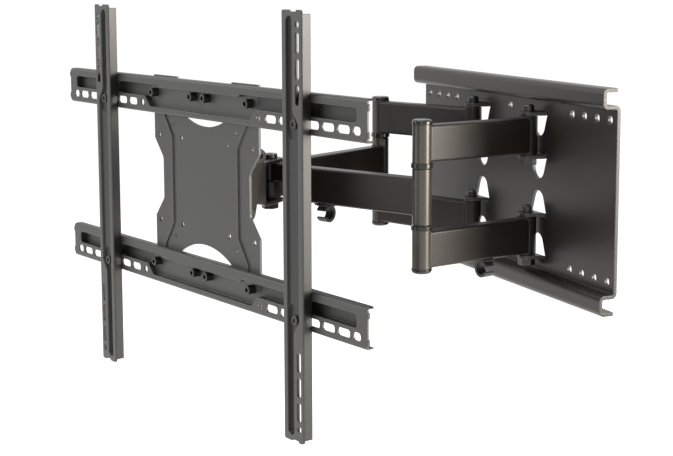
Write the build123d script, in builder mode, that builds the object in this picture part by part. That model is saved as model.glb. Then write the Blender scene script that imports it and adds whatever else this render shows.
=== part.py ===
"""Full-motion wall mount for a flat television: a folded wall plate, two pairs of folding arms,
a head that swivels and tilts, and a screen frame of four rails. Millimetres, Z up, X to the right
as seen from the room, and the room on the -Y side. The origin is on the wall at the plate's centre."""

import os
from math import atan2, cos, degrees, hypot, radians, sin, sqrt

from build123d import *

os.makedirs("parts", exist_ok=True)

# Wall plate: one folded sheet with a forward channel along its top and bottom
plate_width = 432.0
plate_sheet = 4.0
plate_bend = 2.0
panel_height = 203.0
channel_height = 18.0
channel_step = 17.5
lag_span = 406.4
lag_pitch = 24.0
lags_per_row = 4
lag_row_height = 85.5
lag_bore = 9.0

# Shoulder tabs, bent forward out of the panel
pivot_spacing = 128.0
pivot_reach = 14.0
tab_root = 32.0
tab_tip_radius = 10.5
window_margin = 1.5

# Folding arms
first_length = 150.0
forearm_length = 216.0
tube_height = 40.0
tube_thickness = 19.0
tube_wall = 2.0
tube_corner = 3.0
barrel_diameter = 21.0
shoulder_barrel_height = 42.0
elbow_barrel_height = 60.0
pin_diameter = 10.0
pin_socket = 6.0
bush_wall = 1.5
bush_flange = 1.0
bush_flange_diameter = 18.0
bush_length = 12.0
elbow_ring_thickness = 4.7
elbow_ring_diameter = 23.5
cap_diameter = 22.2
cap_height = 5.0
cap_round = 3.0

# Head end of the forearms: half-height necks and eyes that pass above each other
eye_height = 19.0
eye_spacing = 2.0
eye_diameter = 24.0
neck_thickness = 16.0
tube_stop = 31.0
loose_eye_bore = 17.0

# Where the head stands, and how it is turned
head_x = -100.0
head_y = -266.0
screen_yaw = 13.2
head_to_plate = 88.0

# Swivel yoke and tilt bracket, measured back from the front of the centre plate
yoke_sheet = 4.0
yoke_bend = 1.5
yoke_width = 62.0
yoke_reach = 30.0
yoke_nose = 15.0
tilt_axis_back = 49.0
tilt_axis_up = 34.0
lock_back = 33.0
lock_down = 31.0
ear_radius = 9.0
bracket_sheet = 3.0
bracket_height = 100.0
tilt_down_range = 12.0
tilt_up_range = 2.0
tilt_bolt_diameter = 8.0
tilt_head_diameter = 15.5
tilt_head_height = 5.0
tilt_socket = 6.0
tilt_nut_width = 13.0

# Centre plate
centre_sheet = 3.0
centre_width = 220.0
centre_height = 240.0
waist_width = 182.0
waist_half_height = 24.0
waist_end = 46.0
waist_round = 8.0
arch_depth = 67.0
arch_spring = 84.0
arch_half_width = 58.0
bead_width = 3.5
bead_height = 1.6
bead_round = 7.0
bead_offset = 69.0
bead_outer = 88.0
bead_knee = 50.0
bead_end = 77.0
screen_hole = 6.5
screen_pitch = 100.0
inner_hole = 4.5
inner_hole_offset = 65.0

# Half rails across the screen
rail_half_length = 308.0
rail_height = 42.5
rail_depth = 9.0
rail_sheet = 2.0
rail_bend = 3.0
rail_corner = 2.5
rail_above_screws = 18.5
rail_spacing = 200.0
seam_gap = 0.4
pocket_top = 6.5
pocket_bottom = -17.0
pocket_step = 85.0
pocket_half_length = 105.0
pocket_slope = 12.0
pocket_round = 4.0
groove_top = 9.2
groove_bottom = -5.0
groove_end = 291.5
step_round = 1.0
slot_drop = 13.0
slot_pitch = 25.0
slot_length = 20.5
slot_width = 8.5
slot_round = 3.5
first_slot = 145.5
slots_per_rail = 6
rail_end_slot = 291.5
rail_end_slot_length = 12.5
rail_inner_hole = 122.5
rail_hole = 8.0
rail_tab_inset = 8.0
rail_tab_length = 6.5
rail_tab_height = 2.0
outer_screw = 100.0
seam_screw = 14.0
joiner_width = 64.0
joiner_height = 32.0

# Upright rails
upright_offset = 200.0
upright_width = 35.0
upright_depth = 11.0
upright_sheet = 2.0
upright_bend = 1.5
upright_top = 200.5
upright_length = 440.0
upright_corner = 4.0
flange_setback = 4.0
end_notch_width = 11.0
end_notch_depth = 1.8
end_notch_offset = 2.5
groove_inset = 6.8
groove_width = 11.9
groove_margin = 6.0
groove_depth = 3.5
groove_taper = 20.0
wide_groove = 21.2
wide_groove_depth = 2.0
widening_length = 13.0
groove_below_screw = 16.5
groove_round = 5.5
upright_slot_offset = 9.3
upright_slot_length = 21.0
upright_slot_width = 7.0
upright_slot_pitch = 26.0
upright_slots = 3
upright_first_slot = 32.5
upright_end_hole = 14.5
upright_hole = 7.0

# Fasteners
screw_diameter = 6.0
screw_head_diameter = 10.0
screw_head_height = 9.0
screw_socket = 5.0
low_head_diameter = 10.5
low_head_height = 2.5
nut_height = 5.0
nut_width = 10.0
nut_ease = 0.6
head_ease = 0.6
shoulder_head_diameter = 13.0
shoulder_head_height = 8.0
shoulder_ease = 1.5
pivot_head_diameter = 18.0
pivot_head_height = 5.0
pivot_nut_width = 17.0
pivot_nut_height = 8.0

# Cable clips
clip_width = 12.0
clip_outer = 9.0
clip_wall = 2.2
clip_mouth = 7.0
clip_foot_length = 24.0
clip_foot_sheet = 2.0
forearm_clip_along = 132.0
arm_clip_along = 62.0

# Clearances
face_gap = 0.3
pick_margin = 1.0
running_gap = 0.05
press_gap = 0.01
bolt_play = 0.2

# Heights and places worked out from the sizes above
ring_seat = elbow_barrel_height / 2 + bush_flange + face_gap
arm_level = ring_seat + elbow_ring_thickness + shoulder_barrel_height / 2
tab_gap = shoulder_barrel_height / 2 + bush_flange + face_gap
shoulder_y = -(plate_sheet + pivot_reach)
right_shoulder = (pivot_spacing / 2, shoulder_y)
left_shoulder = (-pivot_spacing / 2, shoulder_y)
head_axis = (head_x, head_y)
half_panel = panel_height / 2
bush_bore = pin_diameter + 2 * running_gap
bush_outer = bush_bore + 2 * bush_wall
pin_hole = pin_diameter + 2 * press_gap
eye_bottom = eye_spacing / 2
eye_top = eye_bottom + eye_height
yoke_inside = eye_top + bush_flange + face_gap


def elbow_of(shoulder, side):
    """Elbow axis of a two-link arm between a shoulder and the head; side is +1 right, -1 left."""
    span_x = head_x - shoulder[0]
    span_y = head_y - shoulder[1]
    span = hypot(span_x, span_y)
    along = (first_length**2 + span**2 - forearm_length**2) / (2 * span)
    aside = side * sqrt(first_length**2 - along**2)
    x = shoulder[0] + (along * span_x - aside * span_y) / span
    y = shoulder[1] + (along * span_y + aside * span_x) / span
    return (x, y)


right_elbow = elbow_of(right_shoulder, 1)
left_elbow = elbow_of(left_shoulder, -1)

# The screen frame's own directions: to its right, and forward out of the plate
yaw = radians(screen_yaw)
to_right = (cos(yaw), sin(yaw), 0)
forward = (sin(yaw), -cos(yaw), 0)
plate_centre = (head_x + head_to_plate * forward[0], head_y + head_to_plate * forward[1], 0)
face = Plane(origin=plate_centre, x_dir=to_right, z_dir=forward)


def side_plane(across):
    """Plane across the screen frame, with local X forward, local Y up and its normal to the left."""
    origin = face.from_local_coords((across, 0, 0))
    return Plane(origin=origin, x_dir=forward, z_dir=(-to_right[0], -to_right[1], 0))


def level_plane(height):
    """Horizontal plane of the screen frame, with local X to its right and local Y to the wall."""
    return Plane(origin=(plate_centre[0], plate_centre[1], height), x_dir=to_right, z_dir=(0, 0, 1))


def heading(start, end):
    """Unit direction from one upright axis to another."""
    length = hypot(end[0] - start[0], end[1] - start[1])
    return ((end[0] - start[0]) / length, (end[1] - start[1]) / length, 0)


def save(part, label):
    """Name a finished piece and write it."""
    part.label = label
    export_step(part, f"parts/{label}.step")


def ring(centre, bottom, height, outer, bore):
    """Round ring about an upright axis."""
    with BuildPart() as piece:
        with BuildSketch(Plane.XY.offset(bottom)):
            with Locations(centre):
                Circle(outer / 2)
                Circle(bore / 2, mode=Mode.SUBTRACT)
        extrude(amount=height)
    return piece.part


def hex_nut(plane, width, height, bore):
    """Hexagon nut on a plane, standing along the plane's normal, with its outer corners eased."""
    with BuildPart() as nut:
        with BuildSketch(plane):
            RegularPolygon(width / 2, 6, major_radius=False)
        extrude(amount=height)
        chamfer(nut.faces().sort_by(Axis(plane.origin, plane.z_dir))[-1].edges(), nut_ease)
        with BuildSketch(plane):
            Circle(bore / 2)
        extrude(amount=height, mode=Mode.SUBTRACT)
    return nut.part


def socket_bolt(plane, head, height, shank, length, socket, ease=head_ease):
    """Round-headed bolt: its head stands on the plane, and its shank runs below it."""
    with BuildPart() as bolt:
        with BuildSketch(plane):
            Circle(head / 2)
        extrude(amount=height)
        chamfer(bolt.faces().sort_by(Axis(plane.origin, plane.z_dir))[-1].edges(), ease)
        with BuildSketch(plane):
            Circle(shank / 2)
        extrude(amount=-length)
        with BuildSketch(plane.offset(height)):
            RegularPolygon(socket / 2, 6, major_radius=False)
        extrude(amount=-height / 2, mode=Mode.SUBTRACT)
    return bolt.part


def flanged_bush(centre, seat, direction, length):
    """Bush whose flange lies on a barrel's end at height seat; direction is the way out of the barrel."""
    with BuildPart() as bush:
        with BuildSketch(Plane.XY.offset(seat)):
            with Locations(centre):
                Circle(bush_flange_diameter / 2)
        extrude(amount=direction * bush_flange)
        with BuildSketch(Plane.XY.offset(seat)):
            with Locations(centre):
                Circle(bush_outer / 2)
        extrude(amount=-direction * length)
        with BuildSketch(Plane.XY.offset(seat + direction * bush_flange)):
            with Locations(centre):
                Circle(bush_bore / 2)
        extrude(amount=-direction * (length + bush_flange), mode=Mode.SUBTRACT)
    return bush.part


# Wall plate section: lip, channel front, web and panel in one run of sheet
half_sheet = plate_sheet / 2
sheet_radius = plate_bend + half_sheet
channel_front = channel_step + half_sheet
channel_top = half_panel + channel_height - half_sheet
web_height = half_panel - half_sheet
section_half = [
    (-plate_sheet, channel_top),
    (-channel_front, channel_top),
    (-channel_front, web_height),
    (-half_sheet, web_height),
]
section_points = section_half + [(y, -z) for y, z in reversed(section_half)]


def tab_outline(margin):
    """Tapered tab: a wide root on the local X axis and a round tip about the bolt, towards -Y."""
    with BuildSketch() as outline:
        Rectangle(tab_root + 2 * margin, 2 * plate_sheet)
        with Locations((0, shoulder_y)):
            Circle(tab_tip_radius + margin)
        make_hull()
        split(bisect_by=Plane.XZ, keep=Keep.TOP)
    return outline.sketch


# One tab, bent forward out of the panel above it; its underside is at height 0
tab_tip = plate_sheet + pivot_reach + tab_tip_radius
tab_rise = 2 * (sheet_radius + plate_sheet)
with BuildPart() as tab:
    with BuildSketch(Plane.YZ):
        with BuildLine():
            FilletPolyline(
                (-half_sheet, tab_rise),
                (-half_sheet, half_sheet),
                (-tab_tip, half_sheet),
                radius=sheet_radius,
            )
        trace(line_width=plate_sheet)
    extrude(amount=tab_root / 2, both=True)
    with BuildSketch(Plane.XY.offset(-plate_sheet)):
        add(tab_outline(0))
    extrude(amount=tab_rise + plate_sheet, mode=Mode.INTERSECT)
    with BuildSketch(Plane.XY.offset(-plate_sheet)):
        with Locations((0, shoulder_y)):
            Circle((pin_diameter + bolt_play) / 2)
    extrude(amount=3 * plate_sheet, mode=Mode.SUBTRACT)

with BuildPart() as flipped_tab:
    mirror(tab.part, about=Plane.XY)

# Each arm barrel turns between two tabs; the outer pair of windows points inwards
tab_undersides = [arm_level + tab_gap, arm_level - tab_gap - plate_sheet]
row_x = [lag_span / 2 - i * lag_pitch for i in range(lags_per_row)]

with BuildPart() as wall_plate:
    with BuildSketch(Plane.YZ):
        with BuildLine():
            FilletPolyline(*section_points, radius=sheet_radius)
        trace(line_width=plate_sheet)
    extrude(amount=plate_width / 2, both=True)
    for underside in tab_undersides:
        for x in (-pivot_spacing / 2, pivot_spacing / 2):
            for up in (1, -1):
                window_root = up * (underside + sheet_radius + half_sheet)
                window_plane = Plane(origin=(x, 0, window_root), x_dir=(1, 0, 0), z_dir=(0, -up, 0))
                with BuildSketch(window_plane):
                    add(tab_outline(window_margin))
                extrude(amount=up * plate_sheet, both=True, mode=Mode.SUBTRACT)
    for underside in tab_undersides:
        for x in (-pivot_spacing / 2, pivot_spacing / 2):
            add(tab.part.moved(Location((x, 0, underside))))
            add(flipped_tab.part.moved(Location((x, 0, -underside))))
    with BuildSketch(Plane.XZ):
        for level in (-lag_row_height, lag_row_height):
            with Locations(*[(side * x, level) for side in (-1, 1) for x in row_x]):
                Circle(lag_bore / 2)
        with Locations((0, lag_row_height)):
            Circle(lag_bore / 2)
    extrude(amount=plate_sheet, mode=Mode.SUBTRACT)
save(wall_plate.part, "wall_plate")

# Shoulder bolts run down through both tabs of an arm, with a nut below
bolt_seats = [arm_level + tab_gap + plate_sheet, -arm_level + tab_gap + plate_sheet]
bolt_grip = 2 * (tab_gap + plate_sheet)
with BuildPart() as pivot_bolts:
    for x in (-pivot_spacing / 2, pivot_spacing / 2):
        for seat in bolt_seats:
            add(socket_bolt(
                Plane(origin=(x, shoulder_y, seat), z_dir=(0, 0, 1)),
                shoulder_head_diameter,
                shoulder_head_height,
                pin_diameter,
                bolt_grip + pivot_nut_height,
                pin_socket,
                shoulder_ease,
            ))
save(pivot_bolts.part, "shoulder_bolts")

with BuildPart() as pivot_nuts:
    for x in (-pivot_spacing / 2, pivot_spacing / 2):
        for seat in bolt_seats:
            nut_seat = (x, shoulder_y, seat - bolt_grip)
            nut_plane = Plane(origin=nut_seat, x_dir=(1, 0, 0), z_dir=(0, 0, -1))
            add(hex_nut(nut_plane, pivot_nut_width, pivot_nut_height, pin_hole))
save(pivot_nuts.part, "shoulder_nuts")


def hollow_tube(section, length, closed_length):
    """Rectangular tube along a plane's normal, hollow over all but its closed last stretch."""
    inner_height = tube_height - 2 * tube_wall
    inner_thickness = tube_thickness - 2 * tube_wall
    with BuildPart() as tube:
        with BuildSketch(section):
            RectangleRounded(tube_height, tube_thickness, tube_corner)
        extrude(amount=length)
        with BuildSketch(section):
            RectangleRounded(inner_height, inner_thickness, tube_corner - tube_wall)
        extrude(amount=length - closed_length, mode=Mode.SUBTRACT)
    return tube.part


def first_stage_arm(shoulder, elbow, level):
    """Rectangular tube with a round barrel at the shoulder and one at the elbow."""
    along = heading(shoulder, elbow)
    section = Plane(origin=(*shoulder, level), x_dir=(0, 0, 1), z_dir=along)
    barrel_bottom = level - shoulder_barrel_height / 2
    with BuildPart() as arm:
        add(hollow_tube(section, first_length, 0))
        with BuildSketch(Plane.XY.offset(barrel_bottom)):
            with Locations(shoulder, elbow):
                Circle(barrel_diameter / 2)
        extrude(amount=shoulder_barrel_height)
        with BuildSketch(Plane.XY.offset(barrel_bottom)):
            with Locations(shoulder):
                Circle(bush_outer / 2 + press_gap)
            with Locations(elbow):
                Circle(pin_hole / 2)
        extrude(amount=shoulder_barrel_height, mode=Mode.SUBTRACT)
    return arm.part


def forearm(elbow, bottom, eye_bore):
    """Forearm tube with a tall elbow barrel and a half-height neck and eye at the head."""
    along = heading(elbow, head_axis)
    section = Plane(origin=(*elbow, 0), x_dir=(0, 0, 1), z_dir=along)
    tube_length = forearm_length - tube_stop
    neck_level = bottom + eye_height / 2
    neck_section = Plane(origin=(*elbow, neck_level), x_dir=(0, 0, 1), z_dir=along)
    with BuildPart() as arm:
        add(hollow_tube(section, tube_length, tube_wall))
        with BuildSketch(neck_section.offset(tube_length - tube_wall)):
            Rectangle(eye_height, neck_thickness)
        extrude(amount=tube_stop + tube_wall)
        with BuildSketch(Plane.XY.offset(bottom)):
            with Locations(head_axis):
                Circle(eye_diameter / 2)
        extrude(amount=eye_height)
        with BuildSketch(Plane.XY.offset(-elbow_barrel_height / 2)):
            with Locations(elbow):
                Circle(barrel_diameter / 2)
        extrude(amount=elbow_barrel_height)
        with BuildSketch(Plane.XY.offset(-elbow_barrel_height / 2)):
            with Locations(elbow):
                Circle(bush_outer / 2 + press_gap)
        extrude(amount=elbow_barrel_height, mode=Mode.SUBTRACT)
        with BuildSketch(Plane.XY.offset(bottom)):
            with Locations(head_axis):
                Circle(eye_bore / 2)
        extrude(amount=eye_height, mode=Mode.SUBTRACT)
    return arm.part


def elbow_cap(centre, seat, direction):
    """Rounded cover on the end of an elbow; direction is the way out of the barrel."""
    with BuildPart() as cap:
        with BuildSketch(Plane.XY.offset(seat)):
            with Locations(centre):
                Circle(cap_diameter / 2)
        extrude(amount=direction * cap_height)
        outer_face = cap.faces().sort_by(Axis.Z)[-1 if direction > 0 else 0]
        fillet(outer_face.edges(), cap_round)
    return cap.part


barrel_top = arm_level + shoulder_barrel_height / 2
ring_top = arm_level - shoulder_barrel_height / 2
arm_sides = (("right", right_shoulder, right_elbow), ("left", left_shoulder, left_elbow))
for side, shoulder, elbow in arm_sides:
    save(first_stage_arm(shoulder, elbow, arm_level), f"{side}_upper_arm")
    save(first_stage_arm(shoulder, elbow, -arm_level), f"{side}_lower_arm")
    with BuildPart() as shoulder_bushes:
        for level in (arm_level, -arm_level):
            for way in (1, -1):
                add(flanged_bush(shoulder, level + way * shoulder_barrel_height / 2, way, bush_length))
    save(shoulder_bushes.part, f"{side}_shoulder_bushes")
    with BuildPart() as elbow_bushes:
        for way in (1, -1):
            add(flanged_bush(elbow, way * elbow_barrel_height / 2, way, bush_length))
    save(elbow_bushes.part, f"{side}_elbow_bushes")
    with BuildPart() as elbow_pin:
        with BuildSketch(Plane.XY.offset(-barrel_top)):
            with Locations(elbow):
                Circle(pin_diameter / 2)
        extrude(amount=2 * barrel_top)
    save(elbow_pin.part, f"{side}_elbow_pin")
    with BuildPart() as elbow_rings:
        add(ring(elbow, ring_top - elbow_ring_thickness, elbow_ring_thickness, elbow_ring_diameter, pin_hole))
        add(ring(elbow, -ring_top, elbow_ring_thickness, elbow_ring_diameter, pin_hole))
    save(elbow_rings.part, f"{side}_elbow_rings")
    with BuildPart() as elbow_caps:
        add(elbow_cap(elbow, barrel_top, 1))
        add(elbow_cap(elbow, -barrel_top, -1))
    save(elbow_caps.part, f"{side}_elbow_caps")

save(forearm(right_elbow, eye_bottom, bush_outer + 2 * press_gap), "right_forearm")
save(forearm(left_elbow, -eye_top, loose_eye_bore), "left_forearm")
save(flanged_bush(head_axis, eye_top, 1, eye_height), "head_bush")

# Head pin: a bolt down through the yoke and both eyes, with its nut below the yoke
yoke_outside = yoke_inside + yoke_sheet
head_pin = socket_bolt(
    Plane(origin=(head_x, head_y, yoke_outside + face_gap), z_dir=(0, 0, 1)),
    pivot_head_diameter,
    pivot_head_height,
    pin_diameter,
    2 * (yoke_outside + face_gap) + pivot_nut_height,
    pin_socket,
)
save(head_pin, "head_pin")
head_nut_seat = (head_x, head_y, -yoke_outside - face_gap)
head_nut_plane = Plane(origin=head_nut_seat, x_dir=(1, 0, 0), z_dir=(0, 0, -1))
save(hex_nut(head_nut_plane, pivot_nut_width, pivot_nut_height, pin_hole), "head_pin_nut")

# Swivel yoke: a folded channel about the pin, with an ear along each side of its web
yoke_web = head_to_plate - yoke_reach
half_yoke = yoke_sheet / 2
yoke_section = [
    (-head_to_plate - yoke_nose, yoke_inside + half_yoke),
    (-yoke_web - half_yoke, yoke_inside + half_yoke),
    (-yoke_web - half_yoke, -yoke_inside - half_yoke),
    (-head_to_plate - yoke_nose, -yoke_inside - half_yoke),
]
ear_inner = yoke_width / 2 - yoke_sheet
tilt_point = (-tilt_axis_back, tilt_axis_up)
lock_point = (-lock_back, -lock_down)
with BuildPart() as swivel_yoke:
    with BuildSketch(side_plane(0)):
        with BuildLine():
            FilletPolyline(*yoke_section, radius=yoke_bend + half_yoke)
        trace(line_width=yoke_sheet)
    extrude(amount=yoke_width / 2, both=True)
    with BuildSketch(level_plane(-yoke_outside)):
        with Locations((0, head_to_plate)):
            Circle(yoke_nose)
        with Locations((0, yoke_web)):
            Rectangle(yoke_width, 2 * yoke_sheet)
        make_hull()
    extrude(amount=2 * yoke_outside, mode=Mode.INTERSECT)
    for across in (yoke_width / 2, -ear_inner):
        with BuildSketch(side_plane(across)):
            with Locations(tilt_point, lock_point):
                Circle(ear_radius)
            make_hull()
            with Locations((-(yoke_web + lock_back) / 2, 0)):
                Rectangle(yoke_web - lock_back, 2 * yoke_inside)
        extrude(amount=yoke_sheet)
    with BuildSketch(level_plane(-yoke_outside)):
        with Locations((0, head_to_plate)):
            Circle(pin_diameter / 2 + running_gap)
    extrude(amount=2 * yoke_outside, mode=Mode.SUBTRACT)
    with BuildSketch(side_plane(yoke_width / 2)):
        with Locations(tilt_point, lock_point):
            Circle(tilt_bolt_diameter / 2 + press_gap)
    extrude(amount=yoke_width, mode=Mode.SUBTRACT)
save(swivel_yoke.part, "swivel_yoke")

# Tilt bracket: welded behind the centre plate, with an ear outside each ear of the yoke
bracket_inner = yoke_width / 2 + 2 * face_gap
bracket_outer = bracket_inner + bracket_sheet
lock_radius = hypot(tilt_axis_back - lock_back, tilt_axis_up + lock_down)
lock_angle = degrees(atan2(-lock_down - tilt_axis_up, tilt_axis_back - lock_back))
with BuildLine() as lock_path:
    CenterArc(tilt_point, lock_radius, lock_angle - tilt_up_range, tilt_up_range + tilt_down_range)
with BuildPart() as tilt_bracket:
    with BuildSketch(face.offset(-centre_sheet)):
        RectangleRounded(2 * bracket_outer, bracket_height, bracket_sheet)
    extrude(amount=-bracket_sheet)
    for across in (bracket_outer, -bracket_inner):
        with BuildSketch(side_plane(across)):
            with Locations(tilt_point):
                Circle(ear_radius)
            with Locations((-lock_back - bracket_sheet, -lock_down)):
                Circle(ear_radius)
            with Locations((-centre_sheet - bracket_sheet / 2, 0)):
                Rectangle(bracket_sheet, bracket_height - 2 * bracket_sheet)
            make_hull()
            with Locations(tilt_point):
                Circle(tilt_bolt_diameter / 2 + running_gap, mode=Mode.SUBTRACT)
            SlotArc(lock_path.edges()[0], tilt_bolt_diameter + 4 * face_gap, mode=Mode.SUBTRACT)
        extrude(amount=bracket_sheet)
save(tilt_bracket.part, "tilt_bracket")


def cross_planes(seat):
    """Planes facing out of both sides of the head at a distance seat, with local Y up."""
    right_origin = face.from_local_coords((seat, 0, 0))
    right = Plane(origin=right_origin, x_dir=(-forward[0], -forward[1], 0), z_dir=to_right)
    left_origin = face.from_local_coords((-seat, 0, 0))
    left = Plane(origin=left_origin, x_dir=forward, z_dir=(-to_right[0], -to_right[1], 0))
    return ((right, -1), (left, 1))


def across_head(point, seat):
    """The planes of cross_planes, moved to a point given as forward and up."""
    planes = []
    for plane, sign in cross_planes(seat):
        spot = plane.from_local_coords((sign * point[0], point[1], 0))
        planes.append(Plane(origin=spot, x_dir=plane.x_dir, z_dir=plane.z_dir))
    return planes


for label, point in (("tilt_pivot_bolts", tilt_point), ("tilt_lock_bolts", lock_point)):
    with BuildPart() as tilt_bolts:
        for seat_plane in across_head(point, bracket_outer + face_gap):
            add(socket_bolt(
                seat_plane,
                tilt_head_diameter,
                tilt_head_height,
                tilt_bolt_diameter,
                bracket_outer + face_gap - ear_inner + nut_height,
                tilt_socket,
            ))
    save(tilt_bolts.part, label)

with BuildPart() as tilt_nuts:
    for point in (tilt_point, lock_point):
        for seat_plane in across_head(point, ear_inner):
            inward = Plane(origin=seat_plane.origin, x_dir=seat_plane.x_dir, z_dir=-seat_plane.z_dir)
            add(hex_nut(inward, tilt_nut_width, nut_height, tilt_bolt_diameter + 2 * press_gap))
save(tilt_nuts.part, "tilt_nuts")

# Centre plate: waisted sheet with an arch cut from its top and its bottom
half_width = centre_width / 2
half_height = centre_height / 2
half_waist = waist_width / 2
rail_centre = rail_above_screws - rail_height / 2
with BuildPart() as centre_plate:
    with BuildSketch(face.offset(-centre_sheet)):
        Rectangle(centre_width, centre_height)
        for side in (-1, 1):
            with BuildLine():
                Polyline(
                    (side * half_width, waist_end),
                    (side * half_waist, waist_half_height),
                    (side * half_waist, -waist_half_height),
                    (side * half_width, -waist_end),
                    close=True,
                )
            make_face(mode=Mode.SUBTRACT)
            with BuildLine():
                Line((-arch_half_width, side * arch_spring), (-arch_half_width, side * half_height))
                Line((-arch_half_width, side * half_height), (arch_half_width, side * half_height))
                Line((arch_half_width, side * half_height), (arch_half_width, side * arch_spring))
                ThreePointArc(
                    (arch_half_width, side * arch_spring),
                    (0, side * arch_depth),
                    (-arch_half_width, side * arch_spring),
                )
            make_face(mode=Mode.SUBTRACT)
        waist_corners = [v for v in vertices() if abs(v.Y) < (waist_half_height + waist_end) / 2]
        fillet(waist_corners, radius=waist_round)
    extrude(amount=centre_sheet)
    for side in (-1, 1):
        with BuildSketch(face):
            with BuildLine():
                FilletPolyline(
                    (side * bead_outer, half_height - bead_width),
                    (side * bead_outer, bead_end),
                    (side * bead_offset, bead_knee),
                    (side * bead_offset, -bead_knee),
                    (side * bead_outer, -bead_end),
                    (side * bead_outer, -half_height + bead_width),
                    radius=bead_round,
                )
            trace(line_width=bead_width)
        extrude(amount=bead_height)
    with BuildSketch(face):
        with Locations((0, rail_spacing / 2 + rail_centre), (0, rail_centre - rail_spacing / 2)):
            Rectangle(centre_width, rail_height + 2 * face_gap)
    extrude(amount=bead_height, mode=Mode.SUBTRACT)
    with BuildSketch(face):
        with GridLocations(screen_pitch, screen_pitch, 2, 2):
            Circle(screen_hole / 2)
        with GridLocations(2 * screen_pitch, screen_pitch, 2, 2):
            Circle(screen_hole / 2)
        with GridLocations(2 * inner_hole_offset, 2 * inner_hole_offset, 2, 2):
            Circle(inner_hole / 2)
        with GridLocations(2 * outer_screw, rail_spacing, 2, 2):
            Circle(screw_diameter / 2 + bolt_play)
    extrude(amount=-centre_sheet, mode=Mode.SUBTRACT)
save(centre_plate.part, "centre_plate")


def half_rail(side, level):
    """Pressed half rail, open at its ends: a pocket by the seam and a groove along the rest."""
    top = level + rail_above_screws
    bottom = top - rail_height
    inner_end = seam_gap / 2
    centre = (side * (inner_end + rail_half_length) / 2, (top + bottom) / 2)
    run = rail_half_length - inner_end
    slot_row = level - slot_drop
    step_run = groove_top - pocket_top
    pocket_points = [
        (-side * rail_depth, level + pocket_top),
        (side * pocket_step, level + pocket_top),
        (side * (pocket_step + step_run), level + groove_top),
        (side * groove_end, level + groove_top),
        (side * groove_end, level + groove_bottom),
        (side * (pocket_half_length + pocket_slope), level + groove_bottom),
        (side * pocket_half_length, level + pocket_bottom),
        (-side * rail_depth, level + pocket_bottom),
    ]
    with BuildSketch(face) as pocket:
        with BuildLine():
            Polyline(*pocket_points, close=True)
        make_face()
        fillet([v for v in pocket.vertices() if abs(v.X) > pocket_half_length - pick_margin], radius=pocket_round)
        step_corners = [v for v in pocket.vertices() if 0 < abs(abs(v.X) - pocket_step) < rail_depth]
        fillet(step_corners, radius=step_round)
    with BuildPart() as rail:
        with BuildSketch(face):
            with Locations(centre):
                Rectangle(run, rail_height)
            chamfer([v for v in vertices() if abs(v.X) > run - pick_margin], rail_corner)
        extrude(amount=rail_depth)
        front = rail.faces().sort_by(Axis(face.origin, face.z_dir))[-1]
        fillet(front.edges().filter_by(lambda edge: edge.length > rail_height), rail_bend)
        with BuildSketch(face.offset(rail_sheet)):
            add(pocket.sketch_local)
        extrude(amount=rail_depth, mode=Mode.SUBTRACT)
        with BuildSketch(face):
            with Locations(centre):
                Rectangle(run, rail_height - 2 * rail_sheet)
            offset(pocket.sketch_local.face(), amount=rail_sheet, mode=Mode.SUBTRACT)
        extrude(amount=rail_depth - rail_sheet, mode=Mode.SUBTRACT)
        with BuildSketch(face.offset(rail_depth - rail_sheet)):
            for tab_level in (top - rail_tab_inset, bottom + rail_tab_inset):
                with Locations((side * rail_half_length, tab_level)):
                    RectangleRounded(2 * rail_tab_height, rail_tab_length, step_round)
        extrude(amount=rail_sheet)
        with BuildSketch(face):
            for i in range(slots_per_rail):
                with Locations((side * (first_slot + i * slot_pitch), slot_row)):
                    RectangleRounded(slot_length, slot_width, slot_round)
            with Locations((side * rail_end_slot, slot_row)):
                RectangleRounded(rail_end_slot_length, slot_width, slot_round)
            with Locations((side * rail_inner_hole, slot_row)):
                Circle(rail_hole / 2)
            with Locations((side * outer_screw, level), (side * seam_screw, level)):
                Circle(screw_diameter / 2 + bolt_play)
        extrude(amount=rail_depth, mode=Mode.SUBTRACT)
    return rail.part


rail_levels = (("upper", rail_spacing / 2), ("lower", -rail_spacing / 2))
for row, level in rail_levels:
    save(half_rail(-1, level), f"{row}_left_rail")
    save(half_rail(1, level), f"{row}_right_rail")
    with BuildPart() as joiner:
        with BuildSketch(face):
            with Locations((0, level)):
                RectangleRounded(joiner_width, joiner_height, rail_sheet)
            with Locations((-seam_screw, level), (seam_screw, level)):
                Circle(screw_diameter / 2 + bolt_play, mode=Mode.SUBTRACT)
        extrude(amount=-centre_sheet)
    save(joiner.part, f"{row}_joiner_plate")

screw_row = (-outer_screw, -seam_screw, seam_screw, outer_screw)
screw_points = [(x, level) for row, level in rail_levels for x in screw_row]


def face_point(point, out):
    """Plane facing forward at a point of the screen frame, a distance out of the plate."""
    return Plane(origin=face.from_local_coords((point[0], point[1], out)), x_dir=to_right, z_dir=forward)


def back_point(point, out):
    """Plane facing the wall at a point of the screen frame."""
    origin = face.from_local_coords((point[0], point[1], out))
    return Plane(origin=origin, x_dir=to_right, z_dir=(-forward[0], -forward[1], 0))


with BuildPart() as rail_screws:
    for point in screw_points:
        add(socket_bolt(
            face_point(point, rail_sheet),
            screw_head_diameter,
            screw_head_height,
            screw_diameter,
            rail_sheet + centre_sheet + nut_height,
            screw_socket,
        ))
save(rail_screws.part, "rail_screws")

with BuildPart() as rail_nuts:
    for point in screw_points:
        add(hex_nut(back_point(point, -centre_sheet), nut_width, nut_height, screw_diameter + 2 * press_gap))
save(rail_nuts.part, "rail_nuts")

upright_screw_levels = [rail_spacing / 2 - slot_drop, -rail_spacing / 2 - slot_drop]

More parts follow.
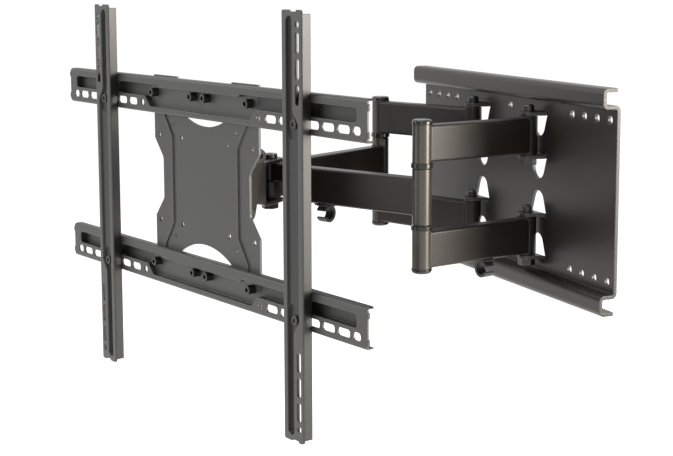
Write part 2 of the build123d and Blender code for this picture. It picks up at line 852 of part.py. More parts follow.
# Upright rails: each is a channel with a long pressed groove towards its inner side, which is wide
# between the screws and deepest around and beyond them, and slots along its outer side
upright_bottom = upright_top - upright_length
upright_middle = (upright_top + upright_bottom) / 2
upright_back = face.offset(rail_depth)
upright_inside = upright_width - 2 * upright_sheet
groove_start = upright_offset - upright_width / 2 + groove_inset
narrow_side = groove_start + groove_width
wide_side = groove_start + wide_groove
wide_centre = (groove_start + wide_side) / 2
upright_ends = ((1, upright_screw_levels[0], upright_top), (-1, upright_screw_levels[1], upright_bottom))
with BuildSketch(face) as deep:
    for way, screw_level, end in upright_ends:
        low = screw_level - way * groove_below_screw
        high = end - way * groove_margin
        with BuildLine():
            FilletPolyline(
                (groove_start, low),
                (groove_start, high),
                (narrow_side, high),
                (narrow_side, screw_level + way * widening_length),
                (wide_side, screw_level),
                (wide_side, low),
                close=True,
                radius=groove_round,
            )
        make_face()
with BuildSketch(face) as shallow:
    with Locations((wide_centre, -slot_drop)):
        Rectangle(wide_groove, rail_spacing - 2 * groove_below_screw + 2 * groove_round)
with BuildPart() as right_upright:
    with BuildSketch(upright_back):
        with Locations((upright_offset, upright_middle)):
            Rectangle(upright_width, upright_length)
    extrude(amount=upright_depth)
    front = right_upright.faces().sort_by(Axis(face.origin, face.z_dir))[-1]
    fillet(front.edges().filter_by(lambda edge: edge.length > upright_width), upright_bend)
    layer_bottom = 0
    for layer_top, pressed in (
        (upright_depth - groove_depth - upright_sheet, ()),
        (upright_depth - wide_groove_depth - upright_sheet, (deep,)),
        (upright_depth - upright_sheet, (deep, shallow)),
    ):
        with BuildSketch(upright_back.offset(layer_bottom)):
            with Locations((upright_offset, upright_middle)):
                Rectangle(upright_inside, upright_length)
            for groove in pressed:
                for outline in groove.sketch_local.faces():
                    offset(outline, amount=upright_sheet, mode=Mode.SUBTRACT)
        extrude(amount=layer_top - layer_bottom, mode=Mode.SUBTRACT)
        layer_bottom = layer_top
    with BuildSketch(upright_back):
        for end_centre in (upright_top - flange_setback / 2, upright_bottom + flange_setback / 2):
            with Locations((upright_offset, end_centre)):
                Rectangle(upright_width, flange_setback)
    extrude(amount=upright_depth - upright_sheet, mode=Mode.SUBTRACT)
    with BuildSketch(upright_back):
        with Locations((upright_offset, upright_middle)):
            RectangleRounded(upright_width, upright_length, upright_corner)
        notch_x = upright_offset + end_notch_offset
        with Locations((notch_x, upright_top), (notch_x, upright_bottom)):
            Rectangle(end_notch_width, 2 * end_notch_depth, mode=Mode.SUBTRACT)
    extrude(amount=upright_depth, mode=Mode.INTERSECT)
    for groove, depth in ((shallow, wide_groove_depth), (deep, groove_depth)):
        with BuildSketch(upright_back.offset(upright_depth)):
            add(groove.sketch_local)
        extrude(amount=-depth, taper=groove_taper, mode=Mode.SUBTRACT)
    slot_x = upright_offset + upright_slot_offset
    with BuildSketch(upright_back):
        for i in range(upright_slots):
            inset = upright_first_slot + i * upright_slot_pitch
            with Locations((slot_x, upright_top - inset), (slot_x, upright_bottom + inset)):
                SlotOverall(upright_slot_length, upright_slot_width, rotation=90)
        with Locations((slot_x, upright_top - upright_end_hole), (slot_x, upright_bottom + upright_end_hole)):
            Circle(upright_hole / 2)
        with Locations(*[(upright_offset, level) for level in upright_screw_levels]):
            Circle(screw_diameter / 2 + bolt_play)
    extrude(amount=upright_depth, mode=Mode.SUBTRACT)
save(right_upright.part, "right_upright_rail")

# The left upright is the right one's mirror image across the middle of the screen frame
with BuildPart() as left_upright:
    mirror(right_upright.part, about=Plane(face.origin, x_dir=face.z_dir, z_dir=face.x_dir))
save(left_upright.part, "left_upright_rail")

screw_seat = upright_depth - groove_depth
with BuildPart() as upright_screws:
    for side in (-1, 1):
        for level in upright_screw_levels:
            add(socket_bolt(
                face_point((side * upright_offset, level), rail_depth + screw_seat),
                low_head_diameter,
                low_head_height,
                screw_diameter,
                screw_seat + rail_sheet + nut_height,
                screw_socket,
            ))
save(upright_screws.part, "upright_screws")

with BuildPart() as upright_nuts:
    for side in (-1, 1):
        for level in upright_screw_levels:
            seat = back_point((side * upright_offset, level), rail_depth - rail_sheet)
            add(hex_nut(seat, nut_width, nut_height, screw_diameter + 2 * press_gap))
save(upright_nuts.part, "upright_nuts")


def cable_clip(start, end, along, underside):
    """Open cable loop below a tube: a flat foot on the tube and a ring with its mouth to the side."""
    way = heading(start, end)
    origin = (start[0] + along * way[0], start[1] + along * way[1], underside)
    section = Plane(origin=origin, x_dir=(-way[1], way[0], 0), z_dir=way)
    with BuildPart() as clip:
        with BuildSketch(section):
            with Locations((0, -clip_foot_sheet - clip_outer)):
                Circle(clip_outer + clip_foot_sheet / 2)
                Circle(clip_outer - clip_wall, mode=Mode.SUBTRACT)
            with Locations((clip_outer, -clip_foot_sheet - clip_outer)):
                Rectangle(clip_outer, clip_mouth, mode=Mode.SUBTRACT)
            with Locations((0, -clip_foot_sheet / 2)):
                Rectangle(tube_thickness, clip_foot_sheet)
        extrude(amount=clip_width / 2, both=True)
        with BuildSketch(section.offset(-clip_foot_length / 2)):
            with Locations((0, -clip_foot_sheet / 2)):
                Rectangle(clip_width, clip_foot_sheet)
        extrude(amount=clip_foot_length)
    return clip.part


save(cable_clip(right_elbow, head_axis, forearm_clip_along, -tube_height / 2), "forearm_cable_clip")
save(cable_clip(right_shoulder, right_elbow, arm_clip_along, -arm_level - tube_height / 2), "arm_cable_clip")

print("right elbow", right_elbow, "left elbow", left_elbow, "plate centre", plate_centre)
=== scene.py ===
import math

import bpy
import numpy as np
from mathutils import Matrix, Vector


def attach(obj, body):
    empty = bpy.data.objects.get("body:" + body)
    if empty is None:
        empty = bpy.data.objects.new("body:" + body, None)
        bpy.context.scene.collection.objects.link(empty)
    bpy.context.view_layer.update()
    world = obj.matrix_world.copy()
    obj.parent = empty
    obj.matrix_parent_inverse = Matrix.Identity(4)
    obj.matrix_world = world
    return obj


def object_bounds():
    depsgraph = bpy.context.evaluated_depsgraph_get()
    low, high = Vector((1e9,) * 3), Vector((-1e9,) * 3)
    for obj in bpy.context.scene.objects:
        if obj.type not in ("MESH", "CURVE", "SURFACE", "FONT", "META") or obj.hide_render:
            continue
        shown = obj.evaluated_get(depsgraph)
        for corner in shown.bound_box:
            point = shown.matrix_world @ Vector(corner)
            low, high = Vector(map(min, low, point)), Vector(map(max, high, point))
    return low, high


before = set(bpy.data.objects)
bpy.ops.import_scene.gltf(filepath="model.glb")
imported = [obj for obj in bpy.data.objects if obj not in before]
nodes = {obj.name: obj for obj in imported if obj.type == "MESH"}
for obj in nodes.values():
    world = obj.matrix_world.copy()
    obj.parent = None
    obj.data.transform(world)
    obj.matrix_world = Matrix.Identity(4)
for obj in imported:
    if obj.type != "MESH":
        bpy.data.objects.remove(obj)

cad_low, cad_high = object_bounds()

# The view: a long lens to the right of the mount and above its middle, turned towards the wall and
# a little down. A small shift up keeps the uprights nearly upright, as they are in the photograph.
picture_width = 673
picture_height = 456
lens_pixels = 1416.4
axis_column = 370
axis_row = 165
sensor_width = 36
camera_place = Vector((1.4253, -0.8447, 0.2286))
camera_turn = math.radians(65.14)
camera_dip = math.radians(7.41)
camera_data = bpy.data.cameras.new("camera")
camera_data.sensor_width = sensor_width
camera_data.lens = lens_pixels / picture_width * sensor_width
camera_data.shift_x = (picture_width / 2 - axis_column) / picture_width
camera_data.shift_y = (axis_row - picture_height / 2) / picture_width
camera = bpy.data.objects.new("camera", camera_data)
aim = Matrix.Rotation(camera_turn, 4, "Z") @ Matrix.Rotation(math.pi / 2 - camera_dip, 4, "X")
camera.matrix_world = Matrix.Translation(camera_place) @ aim
bpy.context.scene.collection.objects.link(camera)
bpy.context.scene.camera = camera
bpy.context.scene.view_settings.view_transform = "Standard"

# The stage: a white studio with a pale floor well below the mount. What the camera sees of it is
# white, and the floor still takes the mount's soft shadow.
floor_drop = 0.45
floor_reach = 400.0
floor_white = 0.85
floor_lift = 0.95
world_light = 0.12
seen_world = 1.0


def link_in(tree, *pairs):
    """Joins pairs of sockets in a node tree, each pair an output and an input."""
    for start, end in pairs:
        tree.links.new(start, end)


def seen_rays(tree):
    """1 for rays from the camera, and for mirror and glass rays, else 0: the largest of the three."""
    path = tree.nodes.new("ShaderNodeLightPath")
    first = tree.nodes.new("ShaderNodeMath")
    first.operation = "MAXIMUM"
    second = tree.nodes.new("ShaderNodeMath")
    second.operation = "MAXIMUM"
    link_in(
        tree,
        (path.outputs["Is Camera Ray"], first.inputs[0]),
        (path.outputs["Is Glossy Ray"], first.inputs[1]),
        (first.outputs[0], second.inputs[0]),
        (path.outputs["Is Transmission Ray"], second.inputs[1]),
    )
    return second.outputs[0]


def white_background(tree, strength):
    """A white Background node of a given strength."""
    node = tree.nodes.new("ShaderNodeBackground")
    node.inputs["Color"].default_value = (1, 1, 1, 1)
    node.inputs["Strength"].default_value = strength
    return node


floor_mesh = bpy.data.meshes.new("floor")
floor_level = cad_low.z - floor_drop
floor_signs = ((-1, -1), (1, -1), (1, 1), (-1, 1))
floor_corners = [(floor_reach * x, floor_reach * y, floor_level) for x, y in floor_signs]
floor_mesh.from_pydata(floor_corners, [], [(0, 1, 2, 3)])
floor = bpy.data.objects.new("floor", floor_mesh)
bpy.context.scene.collection.objects.link(floor)
floor_material = bpy.data.materials.new("floor")
floor_material.use_nodes = True
tree = floor_material.node_tree
tree.nodes.clear()
matt = tree.nodes.new("ShaderNodeBsdfDiffuse")
matt.inputs["Color"].default_value = (floor_white, floor_white, floor_white, 1)
lift = tree.nodes.new("ShaderNodeEmission")
lift_strength = tree.nodes.new("ShaderNodeMath")
lift_strength.operation = "MULTIPLY"
lift_strength.inputs[1].default_value = floor_lift
both = tree.nodes.new("ShaderNodeAddShader")
surface = tree.nodes.new("ShaderNodeOutputMaterial")
link_in(
    tree,
    (seen_rays(tree), lift_strength.inputs[0]),
    (lift_strength.outputs[0], lift.inputs["Strength"]),
    (matt.outputs[0], both.inputs[0]),
    (lift.outputs[0], both.inputs[1]),
    (both.outputs[0], surface.inputs["Surface"]),
)
floor_mesh.materials.append(floor_material)

world = bpy.data.worlds.new("studio")
world.use_nodes = True
bpy.context.scene.world = world
tree = world.node_tree
tree.nodes.clear()
choose = tree.nodes.new("ShaderNodeMixShader")
sky = tree.nodes.new("ShaderNodeOutputWorld")
link_in(
    tree,
    (seen_rays(tree), choose.inputs["Fac"]),
    (white_background(tree, world_light).outputs[0], choose.inputs[1]),
    (white_background(tree, seen_world).outputs[0], choose.inputs[2]),
    (choose.outputs[0], sky.inputs["Surface"]),
)

# Lamps: a wide soft key from the front left, a front panel that the forearms' faces mirror, a top
# light along the rails, a soft box beside the camera, and a warm rim light from behind the wall's
# right side. Each row gives a lamp's name, place, breadth, watts and colour.
white_light = (1.0, 1.0, 1.0)
warm_light = (1.0, 0.94, 0.84)
lamp_rows = (
    ("key", (-1.6, -2.6, 1.3), 1.8, 26, white_light),
    ("front", (-0.5, -2.7, 0.3), 1.1, 13, white_light),
    ("top", (-0.3, -0.5, 2.4), 1.5, 26, white_light),
    ("box", (2.1, -1.7, 0.5), 0.9, 10, warm_light),
    ("rim", (1.7, 1.5, 0.3), 1.2, 125, warm_light),
)
lamp_target = Vector((0, -0.2, 0))
for lamp_name, place, breadth, power, tint in lamp_rows:
    lamp_data = bpy.data.lights.new(lamp_name, "AREA")
    lamp_data.size = breadth
    lamp_data.energy = power
    lamp_data.color = tint
    lamp = bpy.data.objects.new(lamp_name, lamp_data)
    lamp.location = place
    lamp.rotation_mode = "QUATERNION"
    lamp.rotation_quaternion = (lamp_target - Vector(place)).to_track_quat("-Z", "Y")
    bpy.context.scene.collection.objects.link(lamp)

# Wall plate: one steel sheet screwed to the studs, with its long edges folded into lipped channels
# and its shoulder tabs bent out of its own windows. It is baked in powder coat, whose grain and paler
# edges, a painted highlight with some rubbed wear, are node groups that the other finishes use too.
# Edges: the mask's width, gain and samples, the share of paler colour painted there as a highlight with some
# rubbed wear, and how much smoother the edges are.
edge_mask_width = 0.0012
edge_mask_gain = 3.0
edge_bevel_samples = 6
edge_highlight_and_wear_share = 0.55
edge_smoothing = 0.1
peel_waves = 700.0
speckle_waves = 2600.0
drift_waves = 7.0
blotchy_detail = 3.0
plain_detail = 1.0
speckle_height = 0.35
speckle_share = 0.5
rough_swing = 0.12
peel_strength = 0.6


def new_group(name, inputs, outputs):
    """A shader node group: number inputs with their defaults, and outputs with their kinds."""
    group = bpy.data.node_groups.new(name, "ShaderNodeTree")
    for label, value in inputs.items():
        socket = group.interface.new_socket(name=label, in_out="INPUT", socket_type="NodeSocketFloat")
        socket.default_value = value
    for label, kind in outputs.items():
        group.interface.new_socket(name=label, in_out="OUTPUT", socket_type=f"NodeSocket{kind}")
    return group, group.nodes.new("NodeGroupInput"), group.nodes.new("NodeGroupOutput")


def placed_group(tree, group, **values):
    """A node group placed in a material; a value's name is its input's, with _ for a space."""
    node = tree.nodes.new("ShaderNodeGroup")
    node.node_tree = group
    for label, value in values.items():
        node.inputs[label.replace("_", " ")].default_value = value
    return node


def math_node(tree, operation, *values):
    """A Math node whose inputs are numbers or sockets."""
    node = tree.nodes.new("ShaderNodeMath")
    node.operation = operation
    for i, value in enumerate(values):
        if isinstance(value, (int, float)):
            node.inputs[i].default_value = value
        else:
            tree.links.new(value, node.inputs[i])
    return node.outputs[0]


def noise_node(tree, coordinates, scale, detail):
    """Noise on object coordinates; scale is a socket with the waves to the metre."""
    node = tree.nodes.new("ShaderNodeTexNoise")
    node.inputs["Detail"].default_value = detail
    link_in(tree, (coordinates, node.inputs["Vector"]), (scale, node.inputs["Scale"]))
    return node.outputs["Fac"]


# Edge highlight and wear: where two faces meet, a small round-over turns the normal away from the
# flat face. One less the cosine of that angle is the mask, so it shows only along the edges. The
# finishes paint a highlight there with it, along with some rubbed wear, and make the edges smoother.
edge_highlight_and_wear, given, result = new_group(
    "edge_highlight_and_wear",
    {"Width": edge_mask_width, "Gain": edge_mask_gain},
    {"Mask": "Float", "Normal": "Vector"},
)
rounded = edge_highlight_and_wear.nodes.new("ShaderNodeBevel")
rounded.samples = edge_bevel_samples
flat = edge_highlight_and_wear.nodes.new("ShaderNodeNewGeometry")
agree = edge_highlight_and_wear.nodes.new("ShaderNodeVectorMath")
agree.operation = "DOT_PRODUCT"
link_in(
    edge_highlight_and_wear,
    (given.outputs["Width"], rounded.inputs["Radius"]),
    (rounded.outputs[0], agree.inputs[0]),
    (flat.outputs["Normal"], agree.inputs[1]),
    (rounded.outputs[0], result.inputs["Normal"]),
)
bend = math_node(edge_highlight_and_wear, "SUBTRACT", 1.0, agree.outputs["Value"])
gained = math_node(edge_highlight_and_wear, "MULTIPLY", bend, given.outputs["Gain"])
link_in(edge_highlight_and_wear, (math_node(edge_highlight_and_wear, "MINIMUM", gained, 1.0), result.inputs["Mask"]))

# Coat grain: the fine orange peel of baked powder, a speckle in it, and slow changes in its tone.
coat_grain, given, result = new_group(
    "coat_grain",
    {"Peel": peel_waves, "Speckle": speckle_waves, "Drift": drift_waves},
    {"Height": "Float", "Speckle": "Float", "Drift": "Float"},
)
where = coat_grain.nodes.new("ShaderNodeTexCoord").outputs["Object"]
peel = noise_node(coat_grain, where, given.outputs["Peel"], blotchy_detail)
speckle = noise_node(coat_grain, where, given.outputs["Speckle"], plain_detail)
drift = noise_node(coat_grain, where, given.outputs["Drift"], blotchy_detail)
raised = math_node(coat_grain, "MULTIPLY", speckle, speckle_height)
link_in(
    coat_grain,
    (math_node(coat_grain, "ADD", peel, raised), result.inputs["Height"]),
    (speckle, result.inputs["Speckle"]),
    (drift, result.inputs["Drift"]),
)


def mix_colours(tree, first, second):
    """A colour Mix node; a colour given as None is left to a link."""
    node = tree.nodes.new("ShaderNodeMix")
    node.data_type = "RGBA"
    for socket, colour in (("A", first), ("B", second)):
        if colour is not None:
            node.inputs[socket].default_value = (*colour, 1)
    return node


def finish_material(name, *, colour, rough, edge_highlight_and_wear_colour, edge_width, peel_depth, drift_share, specular):
    """A coated or moulded finish: its colour drifts slowly and is speckled, its edges are smoother and
    painted paler, a highlight with some rubbed wear, and its skin has a fine peel."""
    material = bpy.data.materials.new(name)
    material.use_nodes = True
    tree = material.node_tree
    shader = tree.nodes["Principled BSDF"]
    shader.inputs["Specular IOR Level"].default_value = specular
    grain = placed_group(tree, coat_grain)
    edge_mask = placed_group(tree, edge_highlight_and_wear, Width=edge_width)
    darker = [c * (1 - drift_share) for c in colour]
    paler = [c * (1 + drift_share) for c in colour]
    tone = mix_colours(tree, darker, paler)
    # Painted highlight with some rubbed wear: the edge mask mixes the colour towards the paler edge colour.
    highlighted_and_worn = mix_colours(tree, None, edge_highlight_and_wear_colour)
    mixed = math_node(tree, "MULTIPLY_ADD", grain.outputs["Speckle"], speckle_share, grain.outputs["Drift"])
    edge_highlight_and_wear_amount = math_node(tree, "MULTIPLY", edge_mask.outputs["Mask"], edge_highlight_and_wear_share)
    smoothest = rough - rough_swing / 2
    uneven = math_node(tree, "MULTIPLY_ADD", grain.outputs["Drift"], rough_swing, smoothest)
    gloss = math_node(tree, "MULTIPLY_ADD", edge_mask.outputs["Mask"], -edge_smoothing, uneven)
    bump = tree.nodes.new("ShaderNodeBump")
    bump.inputs["Strength"].default_value = peel_strength
    bump.inputs["Distance"].default_value = peel_depth
    link_in(
        tree,
        (math_node(tree, "SUBTRACT", mixed, speckle_share / 2), tone.inputs["Factor"]),
        (tone.outputs["Result"], highlighted_and_worn.inputs["A"]),
        (edge_highlight_and_wear_amount, highlighted_and_worn.inputs["Factor"]),
        (highlighted_and_worn.outputs["Result"], shader.inputs["Base Color"]),
        (gloss, shader.inputs["Roughness"]),
        (grain.outputs["Height"], bump.inputs["Height"]),
        (edge_mask.outputs["Normal"], bump.inputs["Normal"]),
        (bump.outputs["Normal"], shader.inputs["Normal"]),
    )
    return material


def dress(material, *names):
    """Gives CAD nodes their finish in place of the one that they came with."""
    for name in names:
        slots = nodes[name].material_slots
        for slot in slots:
            slot.material = material
        if not slots:
            nodes[name].data.materials.append(material)


plate_coat = finish_material(
    "plate_coat",
    colour=(0.023, 0.0192, 0.0170),
    rough=0.36,
    edge_highlight_and_wear_colour=(0.20, 0.19, 0.18),
    edge_width=0.0014,
    peel_depth=0.00006,
    drift_share=0.12,
    specular=0.42,
)
dress(plate_coat, "wall_plate")

# Arms: four first stages and two forearms of rectangular steel tube, which fold on the shoulder and
# elbow pins. They are baked in a dark and fairly smooth coat. The turned barrels at the elbows are
# brighter and bronze-grey: their mask is 1 within the barrel's radius of either elbow axis.
arm_coat = finish_material(
    "arm_coat",
    colour=(0.0135, 0.0102, 0.0082),
    rough=0.36,
    edge_highlight_and_wear_colour=(0.13, 0.115, 0.10),
    edge_width=0.0014,
    peel_depth=0.00004,
    drift_share=0.14,
    specular=0.28,
)
elbow_axes = ((0.09120, -0.16551), (-0.20241, -0.07582))
barrel_reach = 0.0113
barrel_colour = (0.080, 0.073, 0.065)
barrel_rough = 0.33
barrel_metallic = 0.7
around_axis, given, result = new_group(
    "around_axis",
    {"Axis X": 0.0, "Axis Y": 0.0, "Reach": barrel_reach},
    {"Mask": "Float"},
)
place = around_axis.nodes.new("ShaderNodeSeparateXYZ")
link_in(around_axis, (around_axis.nodes.new("ShaderNodeTexCoord").outputs["Object"], place.inputs[0]))
away_x = math_node(around_axis, "SUBTRACT", place.outputs["X"], given.outputs["Axis X"])
away_y = math_node(around_axis, "SUBTRACT", place.outputs["Y"], given.outputs["Axis Y"])
away_y_squared = math_node(around_axis, "MULTIPLY", away_y, away_y)
away = math_node(around_axis, "SQRT", math_node(around_axis, "MULTIPLY_ADD", away_x, away_x, away_y_squared))
within = math_node(around_axis, "LESS_THAN", away, given.outputs["Reach"])
link_in(around_axis, (within, result.inputs["Mask"]))

tree = arm_coat.node_tree
shader = tree.nodes["Principled BSDF"]
barrels = [placed_group(tree, around_axis, Axis_X=x, Axis_Y=y) for x, y in elbow_axes]
on_barrel = math_node(tree, "MAXIMUM", *(barrel.outputs["Mask"] for barrel in barrels))
coat_out = shader.inputs["Base Color"].links[0].from_socket
rough_out = shader.inputs["Roughness"].links[0].from_socket
barrel_tone = mix_colours(tree, None, barrel_colour)
barrel_gloss = tree.nodes.new("ShaderNodeMix")
barrel_gloss.inputs["B"].default_value = barrel_rough
link_in(
    tree,
    (on_barrel, barrel_tone.inputs["Factor"]),
    (coat_out, barrel_tone.inputs["A"]),
    (barrel_tone.outputs["Result"], shader.inputs["Base Color"]),
    (on_barrel, barrel_gloss.inputs["Factor"]),
    (rough_out, barrel_gloss.inputs["A"]),
    (barrel_gloss.outputs["Result"], shader.inputs["Roughness"]),
    (math_node(tree, "MULTIPLY", on_barrel, barrel_metallic), shader.inputs["Metallic"]),
)
dress(
    arm_coat,
    "right_upper_arm",
    "right_lower_arm",
    "left_upper_arm",
    "left_lower_arm",
    "right_forearm",
    "left_forearm",
)

# Weld beads: each tube is welded all round to its turned barrels with one thin bead, and coated with
# the arm. It is steel, laid in small overlapping pools, which show as ripples along it.
tube_half_height = 0.020
tube_half_thickness = 0.0095
tube_corner = 0.003
barrel_radius = 0.0105
bead_radius = 0.0011
bead_ripple = 0.12
bead_pitch = 0.0017
bead_steps = 440
bead_sides = 10
corner_steps = 9
arm_level = 0.057
shoulder_axes = ((0.064, -0.018), (-0.064, -0.018))
head_axis = (-0.1, -0.266)


def weld_bead(axis, towards, level):
    """Points and faces of a bead at the barrel round an axis, whose tube runs towards another axis.
    Its line goes round the tube's rounded rectangle, u across it and z up, and stands off the axis by
    the square root of the barrel's radius squared less u squared. The bead is a circle carried along
    the line at right angles to it, and its radius rises and falls as a sine of the way gone."""
    quarter = np.linspace(0, np.pi / 2, corner_steps)
    turn = np.concatenate([quarter + i * np.pi / 2 for i in range(4)])
    sides = np.repeat(np.array(((1, 1), (-1, 1), (-1, -1), (1, -1))), corner_steps, axis=0)
    u = sides[:, 0] * (tube_half_thickness - tube_corner) + tube_corner * np.cos(turn)
    z = sides[:, 1] * (tube_half_height - tube_corner) + tube_corner * np.sin(turn)
    u, z = np.append(u, u[0]), np.append(z, z[0])
    gone = np.concatenate(([0], np.cumsum(np.hypot(np.diff(u), np.diff(z)))))
    even = np.linspace(0, gone[-1], bead_steps, endpoint=False)
    u, z = np.interp(even, gone, u), np.interp(even, gone, z)
    off = np.sqrt(barrel_radius**2 - u**2)
    along = np.array((towards[0] - axis[0], towards[1] - axis[1], 0.0))
    along /= np.linalg.norm(along)
    across = np.array((-along[1], along[0], 0.0))
    line = np.array((*axis, level)) + off[:, None] * along + u[:, None] * across
    line[:, 2] += z
    way = np.roll(line, -1, axis=0) - np.roll(line, 1, axis=0)
    way /= np.linalg.norm(way, axis=1)[:, None]
    out = along - (way @ along)[:, None] * way
    out /= np.linalg.norm(out, axis=1)[:, None]
    side = np.cross(way, out)
    radius = bead_radius * (1 + bead_ripple * np.sin(2 * np.pi * even / bead_pitch))
    angle = np.linspace(0, 2 * np.pi, bead_sides, endpoint=False)
    spread = np.cos(angle)[None, :, None] * out[:, None] + np.sin(angle)[None, :, None] * side[:, None]
    points = line[:, None] + radius[:, None, None] * spread
    number = np.arange(bead_steps * bead_sides).reshape(bead_steps, bead_sides)
    after, beside = np.roll(number, -1, axis=0), np.roll(number, -1, axis=1)
    faces = np.stack((number, beside, np.roll(after, -1, axis=1), after), axis=-1)
    return points.reshape(-1, 3), faces.reshape(-1, 4)


def add_welds(name, beads, body):
    """One smooth object from several closed beads, coated as the arms are and riding on a body."""
    points = np.concatenate([bead[0] for bead in beads])
    starts = np.cumsum([0] + [len(bead[0]) for bead in beads[:-1]])
    faces = np.concatenate([bead[1] + start for bead, start in zip(beads, starts)])
    mesh = bpy.data.meshes.new(name)
    mesh.from_pydata(points.tolist(), [], faces.tolist())
    mesh.polygons.foreach_set("use_smooth", np.ones(len(faces), dtype=bool))
    mesh.materials.append(arm_coat)
    welds = bpy.data.objects.new(name, mesh)
    bpy.context.scene.collection.objects.link(welds)
    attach(welds, body)


for side_name, shoulder, elbow in zip(("right", "left"), shoulder_axes, elbow_axes):
    for row_name, level in (("upper", arm_level), ("lower", -arm_level)):
        beads = [weld_bead(shoulder, elbow, level), weld_bead(elbow, shoulder, level)]
        add_welds(f"{side_name}_{row_name}_arm_welds", beads, f"{side_name}_first_stage")
    add_welds(f"{side_name}_forearm_weld", [weld_bead(elbow, head_axis, 0.0)], f"{side_name}_forearm")

# Head: the yoke swivels on the head pin, and the bracket behind the centre plate tilts in the yoke.
# Both are folded from steel sheet and coated like the arms.
dress(arm_coat, "swivel_yoke", "tilt_bracket")

# Screen frame: the waisted centre plate, four half rails with joiner plates behind their seams, and
# two uprights screwed across them. All are pressed from steel sheet, in a satin dark grey coat. Shade
# is painted into the long pressed grooves: the coat's colour darkens towards their floors.
screen_turn = math.radians(13.2)
plate_reach = 0.088
groove_beyond = 0.112
# The near-black colour of the shade painted onto the groove floors, and how much of it each coat takes.
groove_shade_colour = (0.004, 0.004, 0.004)
rail_groove = {"front": 0.0088, "depth": 0.0060, "amount": 0.9}
upright_groove = {"front": 0.0198, "depth": 0.0016, "amount": 0.92}
frame_right = (math.cos(screen_turn), math.sin(screen_turn))
frame_forward = (math.sin(screen_turn), -math.cos(screen_turn))
plate_front = [h + plate_reach * f for h, f in zip(head_axis, frame_forward)]

# The painted shade in the grooves: its mask grows with the depth below a front face, measured forwards
# from the front of the centre plate, and counts only beyond a given distance to either side of the
# frame's middle.
painted_groove_shade, given, result = new_group(
    "painted_groove_shade",
    {"Front": rail_groove["front"], "Depth": rail_groove["depth"], "Beyond": groove_beyond},
    {"Mask": "Float"},
)
place = painted_groove_shade.nodes.new("ShaderNodeSeparateXYZ")
link_in(painted_groove_shade, (painted_groove_shade.nodes.new("ShaderNodeTexCoord").outputs["Object"], place.inputs[0]))
from_x = math_node(painted_groove_shade, "SUBTRACT", place.outputs["X"], plate_front[0])
from_y = math_node(painted_groove_shade, "SUBTRACT", place.outputs["Y"], plate_front[1])
right_of_y = math_node(painted_groove_shade, "MULTIPLY", from_y, frame_right[1])
across = math_node(painted_groove_shade, "MULTIPLY_ADD", from_x, frame_right[0], right_of_y)
forward_of_y = math_node(painted_groove_shade, "MULTIPLY", from_y, frame_forward[1])
forward = math_node(painted_groove_shade, "MULTIPLY_ADD", from_x, frame_forward[0], forward_of_y)
below = math_node(painted_groove_shade, "SUBTRACT", given.outputs["Front"], forward)
share = math_node(painted_groove_shade, "DIVIDE", below, given.outputs["Depth"])
capped = math_node(painted_groove_shade, "MINIMUM", math_node(painted_groove_shade, "MAXIMUM", share, 0.0), 1.0)
off_middle = math_node(painted_groove_shade, "ABSOLUTE", across)
outside = math_node(painted_groove_shade, "GREATER_THAN", off_middle, given.outputs["Beyond"])
link_in(painted_groove_shade, (math_node(painted_groove_shade, "MULTIPLY", capped, outside), result.inputs["Mask"]))


def groove_shaded_coat(name, colour, front, depth, amount):
    """The frame's coat, with shade painted towards the pressed grooves' floors, of an amount at most 1."""
    material = finish_material(
        name,
        colour=colour,
        rough=0.40,
        edge_highlight_and_wear_colour=(0.36, 0.36, 0.35),
        edge_width=0.0011,
        peel_depth=0.00006,
        drift_share=0.10,
        specular=0.4,
    )
    tree = material.node_tree
    shader = tree.nodes["Principled BSDF"]
    shade = placed_group(tree, painted_groove_shade, Front=front, Depth=depth)
    # Painted shade: the base colour is mixed towards the groove shade colour, more deeply in the grooves.
    dark = mix_colours(tree, None, groove_shade_colour)
    link_in(
        tree,
        (math_node(tree, "MULTIPLY", shade.outputs["Mask"], amount), dark.inputs["Factor"]),
        (shader.inputs["Base Color"].links[0].from_socket, dark.inputs["A"]),
        (dark.outputs["Result"], shader.inputs["Base Color"]),
    )
    return material


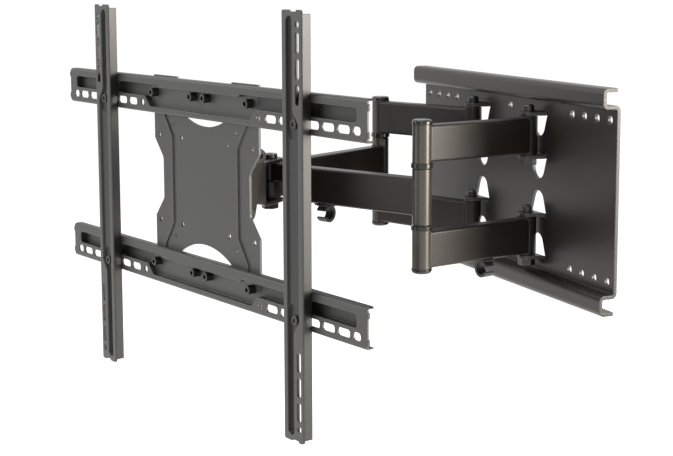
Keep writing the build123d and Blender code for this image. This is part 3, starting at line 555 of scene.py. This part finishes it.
frame_coat = groove_shaded_coat("frame_coat", (0.052, 0.052, 0.051), **rail_groove)
dress(
    frame_coat,
    "centre_plate",
    "upper_left_rail",
    "upper_right_rail",
    "lower_left_rail",
    "lower_right_rail",
    "upper_joiner_plate",
    "lower_joiner_plate",
)
upright_coat = groove_shaded_coat("upright_coat", (0.062, 0.062, 0.060), **upright_groove)
dress(upright_coat, "left_upright_rail", "right_upright_rail")

# Fasteners: the pins of the arms and head, and the bolts, screws and nuts that hold the tilt, rails
# and uprights. They are black-oxide steel, turned and cut, a little oily, with a highlight painted
# on their edges along with some rubbed wear.
black_steel = finish_material(
    "black_steel",
    colour=(0.016, 0.0155, 0.015),
    rough=0.30,
    edge_highlight_and_wear_colour=(0.22, 0.21, 0.20),
    edge_width=0.0007,
    peel_depth=0.00002,
    drift_share=0.10,
    specular=0.45,
)
dress(
    black_steel,
    "shoulder_bolts",
    "shoulder_nuts",
    "right_elbow_pin",
    "left_elbow_pin",
    "head_pin",
    "head_pin_nut",
    "tilt_pivot_bolts",
    "tilt_lock_bolts",
    "tilt_nuts",
    "rail_screws",
    "rail_nuts",
    "upright_screws",
    "upright_nuts",
)

# Elbow covers and rings: moulded in glossy black plastic. The domed covers are pressed over the
# barrels' ends, and the rings lie between one barrel and the next.
cover_plastic = finish_material(
    "cover_plastic",
    colour=(0.014, 0.011, 0.009),
    rough=0.20,
    edge_highlight_and_wear_colour=(0.06, 0.05, 0.04),
    edge_width=0.0009,
    peel_depth=0.00001,
    drift_share=0.08,
    specular=0.5,
)
dress(cover_plastic, "right_elbow_caps", "left_elbow_caps", "right_elbow_rings", "left_elbow_rings")

# Bushes and cable clips: moulded in matt black nylon. The bushes sit in the barrels round their pins,
# and the two clips are fixed under a forearm and under a first stage.
nylon = finish_material(
    "nylon",
    colour=(0.020, 0.020, 0.021),
    rough=0.50,
    edge_highlight_and_wear_colour=(0.08, 0.08, 0.08),
    edge_width=0.0006,
    peel_depth=0.00003,
    drift_share=0.10,
    specular=0.5,
)
dress(
    nylon,
    "right_shoulder_bushes",
    "left_shoulder_bushes",
    "right_elbow_bushes",
    "left_elbow_bushes",
    "head_bush",
    "forearm_cable_clip",
    "arm_cable_clip",
)
